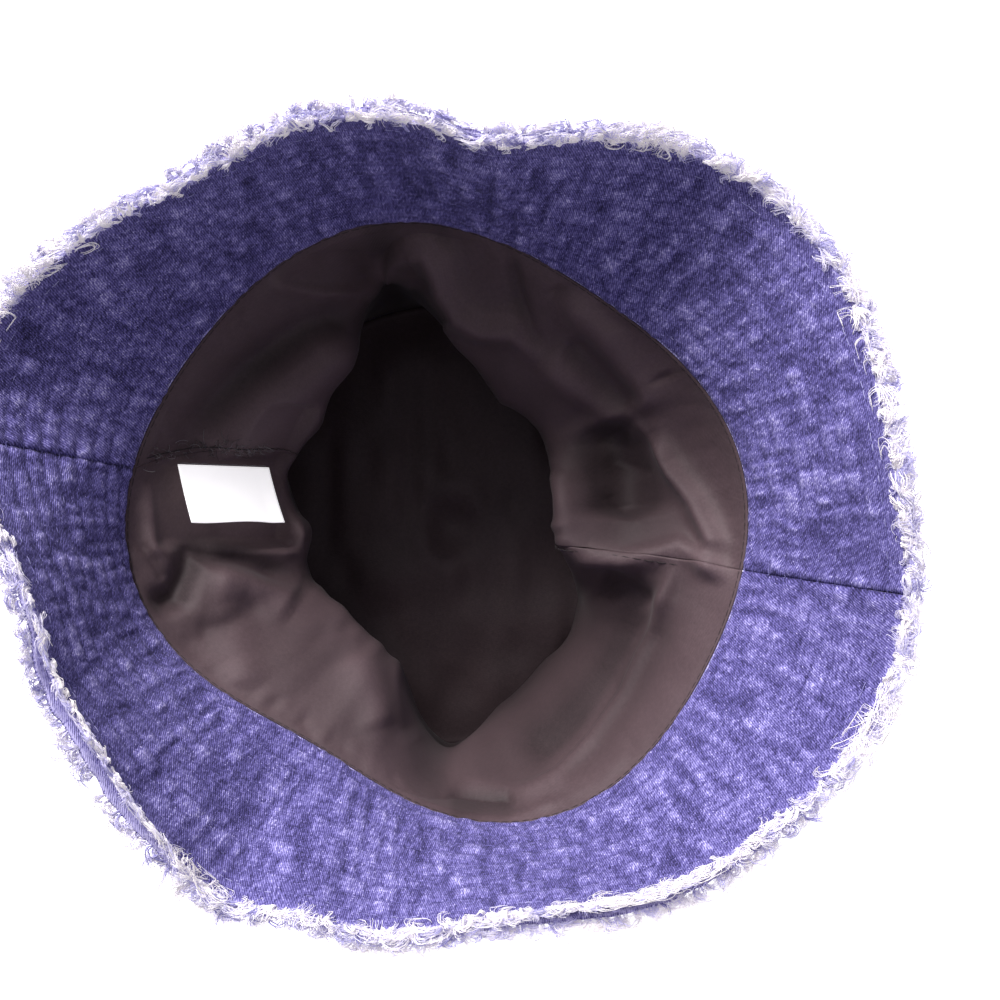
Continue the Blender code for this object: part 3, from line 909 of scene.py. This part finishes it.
def crown_threads():
    thread = yarn_material("crown_thread", THREAD_STOPS, 0.1)
    count = round(2 * np.pi * CROWN_ARC / CROWN_STITCH_LENGTH) * STITCH_POINTS
    turn = 2 * np.arange(count) / count
    lift = DENIM / 2 + 0.0001 + stitched(count, *CROWN_STITCH)
    for node, height in (
        ("crown_edge_stitching", CROWN_EDGE_HEIGHT), ("head_seam_stitching", HEAD_SEAM_HEIGHT)
    ):
        middle = crown_middle(turn, height / CROWN_HEIGHT + 0 * turn)
        path = middle + outwards(seam_azimuth(turn)) * lift[:, None]
        tone = np.clip(0.62 + 0.15 * np.random.default_rng(9).standard_normal(count), 0, 1)
        piece = threads(node + "_thread", path[None], 0.0002, 5, tone, thread, closed=True)
        if node == "head_seam_stitching":
            settle(piece, node, "hat")
        else:
            settle_on_crown(piece, node)
    shares = np.linspace(0.03, 0.965, 30 * STITCH_POINTS)
    lift = DENIM / 2 + 0.0002 + stitched(len(shares), *CROWN_STITCH)
    for side, turn_at in (("right", 0.0), ("left", 1.0)):
        paths = []
        for shift in (-SEAM_MARGIN, SEAM_MARGIN):
            turn = turn_at + shift / (np.pi * CROWN_ARC) + 0 * shares
            paths.append(crown_middle(turn, shares) + outwards(seam_azimuth(turn)) * lift[:, None])
        node = f"crown_seam_stitching_{side}"
        piece = threads(f"{node}_thread", np.stack(paths), 0.0002, 5, 0.62, thread)
        settle_on_crown(piece, node)


# ---------------------------------------------------------------- lining


def round_the_hat(azimuth, knots, blur=2.5):
    """Knots of (azimuth in degrees, value), joined smoothly all the way round."""
    degrees = np.arange(720) / 2
    level = np.interp(degrees, *np.array(knots).T, period=360)
    weight = np.exp(-((((degrees + 180) % 360 - 180) / blur) ** 2))
    level = np.fft.ifft(np.fft.fft(level) * np.fft.fft(weight / weight.sum())).real
    return np.interp(np.degrees(azimuth) % 360, degrees, level, period=360)


def bezier(t, *knots):
    while len(knots) > 1:
        knots = [low + (high - low) * t for low, high in zip(knots, knots[1:])]
    return knots[0]


def fold_height(x, y):
    """The height of all folds together at a place seen from above."""
    total = 0 * x
    for height, half_width, path in FOLDS:
        path = np.array(path) / 1000
        reach = np.r_[0, np.cumsum(np.linalg.norm(np.diff(path, axis=0), axis=1))]
        nearest, place = np.full(x.shape, 1e9), np.zeros(x.shape)
        for start, end, low, high in zip(path, path[1:], reach, reach[1:]):
            run = end - start
            t = np.clip(((x - start[0]) * run[0] + (y - start[1]) * run[1]) / (run @ run), 0, 1)
            away = np.hypot(x - start[0] - t * run[0], y - start[1] - t * run[1])
            place = np.where(away < nearest, (low + (high - low) * t) / reach[-1], place)
            nearest = np.minimum(nearest, away)
        fade = smoothstep(0, 0.18, place) * smoothstep(1, 0.82, place)
        profile = np.exp(-((nearest / (half_width / 1000)) ** 2))
        total = total + height / 1000 * profile * (0.25 + 0.75 * fade)
    return total


def lining_azimuth(turn, down):
    """The azimuth at a turn, with the slip of the loose cloth at the left seam."""
    azimuth = seam_azimuth(turn)
    slip = math.radians(SEAM_SLIP) * near(azimuth, SEAM_LEFT, SLIP_HALF_WIDTH)
    return azimuth + slip * np.sin(np.pi * np.clip(down, 0, 2) / 2)


def loose_lining(azimuth, down):
    """The lining without its folds: from the hem, over the lip in the crown, out to the crown top."""
    hem, hem_height = crown_radius(azimuth, 1.0) - 0.0007, 0.9975 * CROWN_HEIGHT
    foot, foot_height = crown_radius(azimuth, LINING_FOOT) - LINING_INSET, LINING_FOOT * CROWN_HEIGHT
    degrees, radii, heights = np.array(LIP).T
    lip = round_the_hat(azimuth, np.stack([degrees, radii], 1)) / 1000
    lip_height = round_the_hat(azimuth, np.stack([degrees, heights], 1), 6.0) / 1000
    drop = hem_height - lip_height
    third = hem_height - round_the_hat(azimuth, STEEPNESS, 8.0) * drop
    flap, under = np.clip(down, 0, 1), np.clip(down - 1, 0, 1)
    radius = bezier(flap, hem, hem + (lip - hem) * 0.33, lip, lip)
    height = bezier(flap, hem_height, third, lip_height + 0.30 * drop, lip_height)
    below = lip_height - 0.012, foot_height + 0.35 * (lip_height - foot_height)
    radius = np.where(down > 1, bezier(under, lip, lip, foot - 0.15 * (foot - lip), foot), radius)
    height = np.where(down > 1, bezier(under, lip_height, *below, foot_height), height)
    return at_radius(azimuth, radius, height)


def lining_middle(turn, down):
    """A point on the loose lining. Down runs from 0 at the hem over 1 at the lip to 2 at the crown top."""
    azimuth = lining_azimuth(turn, down)
    base = loose_lining(azimuth, down)
    across = loose_lining(azimuth + 0.01, down) - base
    above, below = np.maximum(down - 0.01, 0), np.minimum(down + 0.01, 2)
    along = loose_lining(azimuth, below) - loose_lining(azimuth, above)
    normal = np.cross(across, along)
    normal /= np.maximum(np.linalg.norm(normal, axis=-1, keepdims=True), 1e-12)
    arc = azimuth * CROWN_ARC
    held = smoothstep(0.0, 0.10, down) * smoothstep(1.9, 1.3, down)
    folds = fold_height(base[..., 0], base[..., 1])
    folds = folds * smoothstep(0.01, 0.12, down) * smoothstep(1.30, 0.95, down)
    crumple = value_noise(arc / 0.017, down * 3.0, 61) * 0.0009
    crumple = crumple + value_noise(arc / 0.0070, down * 5.0, 62) * 0.0003
    hem_pucker = value_noise(arc / 0.0038, down * 8, 64) * 0.0004
    hem_pucker = hem_pucker * smoothstep(0.01, 0.06, down) * smoothstep(0.30, 0.08, down)
    billow = value_noise(arc / 0.020, down * 2.5 + 9.5, 65) * 0.0016 * held * smoothstep(0.9, 1.1, down)
    point = base + normal * (folds + held * crumple + hem_pucker + billow)[..., None]
    height = np.maximum(point[..., 2], LINING_FOOT * CROWN_HEIGHT)
    radius = np.hypot(point[..., 0], point[..., 1])
    azimuth = np.arctan2(point[..., 1], point[..., 0])
    wall = crown_radius(azimuth, np.clip(height / CROWN_HEIGHT, 0, 1)) - 0.0021
    wall = wall + 0.0014 * smoothstep(0.06, 0.0, down)
    radius = np.where(down < 1.98, np.minimum(radius, wall), radius)
    return clear_of_label(at_radius(azimuth, radius, height))


def clear_of_label(points):
    """Presses the cloth away from the label where the label lies at either end of its swing."""
    hinge, down, across, off = label_frame()
    local = points - hinge
    limits = JOINTS["label_flip"]["range_deg"]
    for limit, side, clearance in zip(limits, (-1, 1), LABEL_CLEARANCES, strict=True):
        angle = math.radians(limit)
        along_label = across * math.cos(angle) + off * math.sin(angle)
        away = side * (off * math.cos(angle) - across * math.sin(angle))
        u, v, w = local @ down, local @ along_label, local @ away
        inside = smoothstep(0.026, 0.020, np.abs(u)) * smoothstep(-0.006, -0.001, v)
        inside = inside * smoothstep(0.027, 0.022, v)
        short = np.where(w > -0.03, np.maximum(clearance - w, 0), 0) * inside
        points = points + away * short[..., None]
    return points


def lining_panels():
    poplin = lining_material("lining_poplin")
    for half, first in HALVES:
        columns, rows = 420, 150
        turn = panel_turns(first, columns)[:, None] + np.zeros((1, rows))
        down = np.interp(np.linspace(0, 1, rows), (0, LIP_SHARE, 1), (0, 1, 2))[None, :] + 0 * turn
        middle = lining_middle(turn, down)
        place = np.stack([seam_azimuth(turn) * CROWN_ARC, LINING_CUT / 2 * down, 0 * down], -1)
        # Painted light and shade: lighter by the hem, on the flaps and on fold ridges; darker in fold valleys
        # and below the lip, deep in the crown.
        painted_fold_shade = np.clip(fold_height(middle[..., 0], middle[..., 1]) * 90, -0.38, 0.30)
        wear_and_shade = 0.52 * smoothstep(1.15, 0.80, down) + 0.16 * smoothstep(0.35, 0.0, down)
        wear_and_shade = np.clip(wear_and_shade + painted_fold_shade * smoothstep(1.2, 0.9, down), 0, 1)
        piece = cloth(f"lining_side_{half}_cloth", middle, LINING, None, {"cloth": place, "wear_and_shade": wear_and_shade})
        piece.data.materials.append(poplin)
        settle_on_crown(piece, f"lining_side_{half}")
    # The lining's crown top takes a low value, 0.25: painted shade that darkens the crown floor.
    crown_disc(
        "lining_top_cloth", "lining_top", DENIM + 0.0003, 0.0004, 0.0746, poplin,
        wear_and_shade=0.25, billow=0.0032,
    )


def lining_threads():
    thread = yarn_material("lining_thread", LINING_THREAD_STOPS, 0.1)
    count = 190 * STITCH_POINTS
    turn = 2 * np.arange(count) / count
    base, normal = lining_frame(turn, 0.012 + 0 * turn)
    path = base + normal * (LINING / 2 + 0.00005 + stitched(count, *HEM_STITCH))[:, None]
    piece = threads("lining_hem_stitching_thread", path[None], 0.00010, 4, 0.5, thread, closed=True)
    settle(piece, "lining_hem_stitching", "hat")
    for side, turn_at in (("right", 0.0), ("left", 1.0)):
        down = np.linspace(0.05, 1.4, 26 * STITCH_POINTS)
        base, normal = lining_frame(turn_at - 0.0016 / (np.pi * CROWN_ARC) + 0 * down, down)
        path = base + normal * (LINING / 2 + 0.0001 + stitched(len(down), *SEAM_STITCH))[:, None]
        piece = threads(f"lining_seam_thread_{side}_thread", path[None], 0.00014, 4, 0.45, thread)
        if side == "left":
            piece = joined([piece, frayed_seam(thread)], piece.name)
        settle_on_crown(piece, f"lining_seam_thread_{side}")


def lining_frame(turn, down):
    """Points on the lining and their unit normals, which face the wearer."""
    step = 1e-4
    base = lining_middle(turn, down)
    across = lining_middle(turn + step, down) - base
    along = lining_middle(turn, down + step) - base
    normal = np.cross(across, along)
    return base, normal / np.linalg.norm(normal, axis=-1, keepdims=True)


def frayed_seam(thread):
    """Short raw threads that stand out of the left seam's allowance."""
    rng = np.random.default_rng(71)
    count, steps = 150, 9
    down = rng.uniform(0.04, 0.62, count)
    turn = 1.0 - rng.uniform(-0.004, 0.016, count)
    base, normal = lining_frame(turn, down)
    t = np.linspace(0, 1, steps)
    heading = rng.uniform(0, 2 * np.pi, (count, 1)) + rng.uniform(-3.0, 3.0, (count, 1)) * t
    stride = rng.uniform(0.0015, 0.0055, (count, 1)) / steps
    across, along = np.cumsum(np.cos(heading) * stride, 1), np.cumsum(np.sin(heading) * stride, 1)
    inwards = -outwards(lining_azimuth(turn, down))
    beside = np.cross(inwards, normal)
    rise = LINING / 2 + 0.0002 + 0.0009 * np.sin(np.pi * t)[None, :] * rng.uniform(0, 1, (count, 1))
    paths = (
        base[:, None] + inwards[:, None] * across[..., None] + beside[:, None] * along[..., None]
        + normal[:, None] * rise[..., None]
    )
    tone = np.clip(rng.normal(0.75, 0.25, (count, 1)), 0.2, 1.2)
    return threads("frayed_seam", paths, 0.00007, 3, tone, thread)


# ---------------------------------------------------------------- care label


def label_frame():
    """The label's hinge point and directions along its sewn edge, across it and off the lining."""
    hinge = np.array(JOINTS["label_flip"]["pos_m"])
    down = -np.array(JOINTS["label_flip"]["axis"])
    down /= np.linalg.norm(down)
    corners = np.array([vertex.co for vertex in frame["nodes"]["care_label"].data.vertices])
    across = corners.mean(0) - hinge
    across -= across @ down * down
    across /= np.linalg.norm(across)
    return hinge, down, across, np.cross(across, down)


def care_label():
    hinge, down, across, off = label_frame()
    u = np.linspace(-0.5, 0.5, 61)[:, None] + np.zeros((1, 36))
    v = np.linspace(0, 1, 36)[None, :] + 0 * u
    curl = 0.0007 * v**2 * (1 + 0.5 * np.sin(5 * u + 0.6)) - 0.0009 * v * (1 - v)
    curl = curl + 0.0005 * np.sin(7.0 * u + 1.0) * v + 0.0008 * smoothstep(0.34, 0.5, u) * v
    u, v = LABEL_LENGTH * u, LABEL_WIDTH * v
    middle = hinge + down * u[..., None] + across * v[..., None] + off * curl[..., None]
    place = np.stack([u, v, 0 * u], -1)
    piece = cloth("care_label_satin", middle[::-1], LABEL_THICKNESS, None, {"cloth": place[::-1]})
    piece.data.materials.append(label_material("label_satin"))
    settle(piece, "care_label", "label")
    count = 9 * STITCH_POINTS
    along = LABEL_LENGTH * np.linspace(-0.47, 0.47, count)
    proud = stitched(count, *SEAM_STITCH)
    path = hinge + down * along[:, None] - across * 0.0004 + off * proud[:, None]
    material = yarn_material("label_thread", LINING_THREAD_STOPS, 0.1)
    thread = threads("label_stitching_thread", path[None], 0.00014, 4, 0.9, material)
    settle(thread, "label_stitching", "hat")


# ---------------------------------------------------------------- studio


WINDOW = (-0.40, 0.74, 0.54)  # the way to the bright side of the sky
SKY = ((0.0, 0.55), (0.15, 0.52), (0.42, 0.17), (0.77, 0.13), (0.90, 0.36), (1.0, 1.0))
SKY_STRENGTH = 1.9
CAMERA_DISTANCE = 0.600  # above the head opening
VIEW_WIDTH = 0.2967  # what the picture spans at the head opening
CAMERA_OFFSET = (0.0166, 0.0084)


def add_light(name, place, target, size, energy, colour):
    data = bpy.data.lights.new(name, "AREA")
    data.shape = "DISK"
    data.size = size
    data.energy = energy
    data.color = colour
    light = bpy.data.objects.new(name, data)
    light.location = place
    light.rotation_euler = (Vector(target) - Vector(place)).to_track_quat("-Z", "Y").to_euler()
    bpy.context.scene.collection.objects.link(light)


def studio():
    scene = bpy.context.scene
    data = bpy.data.cameras.new("camera")
    data.sensor_width = 36.0
    data.lens = 36.0 * CAMERA_DISTANCE / VIEW_WIDTH
    data.clip_start = 0.01
    camera = bpy.data.objects.new("camera", data)
    camera.location = (*CAMERA_OFFSET, CROWN_HEIGHT + CAMERA_DISTANCE)
    scene.collection.objects.link(camera)
    scene.camera = camera
    add_light("key", (-0.95, 1.66, 1.45), (0, 0, 0.08), 1.0, 88.0, (1.0, 0.985, 0.97))
    world = bpy.data.worlds.new("studio")
    world.use_nodes = True
    tree = world.node_tree
    direction = tree.nodes.new("ShaderNodeTexCoord")
    towards = tree.nodes.new("ShaderNodeVectorMath")
    towards.operation = "DOT_PRODUCT"
    towards.inputs[1].default_value = WINDOW
    sky = tree.nodes.new("ShaderNodeValToRGB")
    while len(sky.color_ramp.elements) < len(SKY):
        sky.color_ramp.elements.new(0.5)
    for element, (place, level) in zip(sky.color_ramp.elements, SKY, strict=True):
        element.position, element.color = place, (0.98 * level, 0.97 * level, level, 1)
    tree.links.new(direction.outputs["Generated"], towards.inputs[0])
    share = tree.nodes.new("ShaderNodeMapRange")
    share.inputs["From Min"].default_value = -1.0
    tree.links.new(towards.outputs["Value"], share.inputs["Value"])
    tree.links.new(share.outputs["Result"], sky.inputs["Fac"])
    background = tree.nodes["Background"]
    tree.links.new(sky.outputs["Color"], background.inputs["Color"])
    background.inputs["Strength"].default_value = SKY_STRENGTH
    scene.world = world
    scene.view_settings.view_transform = "Standard"
    floor = new_object(
        "floor", np.array([[-4, -4, 0], [4, -4, 0], [4, 4, 0], [-4, 4, 0]]) * 1.0, np.array([[0, 1, 2, 3]])
    )
    floor.data.materials.append(floor_material())


def main():
    studio()
    brim_plies()
    stitch_rows()
    fringes()
    crown_panels()
    crown_threads()
    lining_panels()
    lining_threads()
    care_label()


main()
